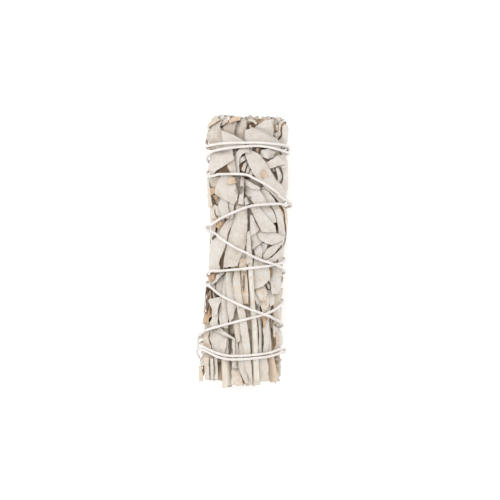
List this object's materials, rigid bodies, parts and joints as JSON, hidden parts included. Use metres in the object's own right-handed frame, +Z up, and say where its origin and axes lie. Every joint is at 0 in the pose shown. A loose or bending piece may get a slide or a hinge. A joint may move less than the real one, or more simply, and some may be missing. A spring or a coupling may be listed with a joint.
{
  "type": "sage smudge stick",
  "caption": "Hand-tied stick of dried white sage: leafy cut sprigs laid lengthways and bound along their length with cotton twine.",
  "frame": {"origin": "on the table under the middle of the stick: the centre of the underside of its box", "axes": "+Y along the stick from the cut stems towards the folded leafy end, +X across it, +Z up from the table"},
  "size_m": [0.0343, 0.1023, 0.0284],
  "materials": {
    "leaf": "matte, like felt",
    "stem": "matte, dry and fibrous",
    "twine": "matte cotton"
  },
  "bodies": {
    "root": {"twine": "twine", "leaf_bent_ribbon": "leaf", "leaf_corner_plate": "leaf", "leaf_spade": "leaf", "leaf_lens": "leaf", "leaf_lens_flap": "leaf", "leaf_diagonal_band": "leaf", "leaf_pointed_right": "leaf", "leaf_broad_middle": "leaf", "leaf_upper_diagonal": "leaf", "leaf_left_blade": "leaf", "leaf_crown_band": "leaf", "leaf_crown_triangle": "leaf", "leaf_crown_curl": "leaf", "leaf_crown_diagonal": "leaf", "leaf_crown_right": "leaf", "leaf_crown_left": "leaf", "leaf_crown_middle": "leaf", "leaf_crown_fold": "leaf", "leaf_crown_rim": "leaf", "leaf_right_flag": "leaf", "leaf_curl_band": "leaf", "leaf_white_stalk": "leaf", "leaf_right_steep": "leaf", "leaf_right_edge": "leaf", "leaf_right_inner": "leaf", "leaf_down_plate": "leaf", "leaf_cool_plate": "leaf", "leaf_right_grey": "leaf", "leaf_left_strip": "leaf", "leaf_tan_edge": "leaf", "leaf_lower_plate": "leaf", "leaf_spoon": "leaf", "leaf_down_tip": "leaf", "leaf_cream_foot": "leaf", "leaf_right_foot": "leaf", "sprig_01": "leaf", "sprig_02": "leaf", "sprig_03": "leaf", "sprig_04": "leaf", "sprig_05": "leaf", "sprig_06": "leaf", "sprig_07": "leaf", "sprig_08": "leaf", "sprig_09": "leaf", "sprig_10": "leaf", "sprig_11": "leaf", "sprig_12": "leaf", "sprig_13": "leaf", "sprig_14": "leaf", "sprig_15": "leaf", "sprig_16": "leaf", "inner_sprig_0": "stem", "inner_sprig_1": "stem", "inner_sprig_2": "stem", "inner_sprig_3": "stem", "inner_sprig_4": "stem", "inner_sprig_5": "stem", "inner_sprig_6": "stem"}
  },
  "joints": []
}
